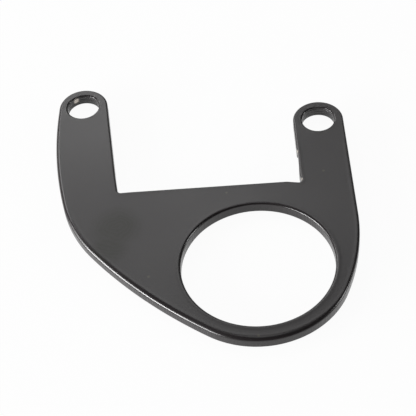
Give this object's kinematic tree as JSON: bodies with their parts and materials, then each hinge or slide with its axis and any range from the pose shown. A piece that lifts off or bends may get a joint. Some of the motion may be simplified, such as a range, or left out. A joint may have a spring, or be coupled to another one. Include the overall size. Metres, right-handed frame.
{
  "type": "gauge bracket",
  "caption": "Flat black-coated steel gauge bracket with a round gauge ring, a notch and two arms that end in ears with bolt holes.",
  "frame": {"origin": "middle of the gauge hole, on the back face of the plate, so the gauge hole's axis is the Z axis", "axes": "+X along the floor of the notch towards the right arm, +Y from the gauge hole towards the two ears, +Z out of the front face"},
  "size_m": [0.099, 0.1122, 0.004],
  "materials": {
    "coated_steel": "satin black coating over laser-cut steel plate"
  },
  "bodies": {
    "root": {"bracket": "coated_steel"}
  },
  "joints": []
}
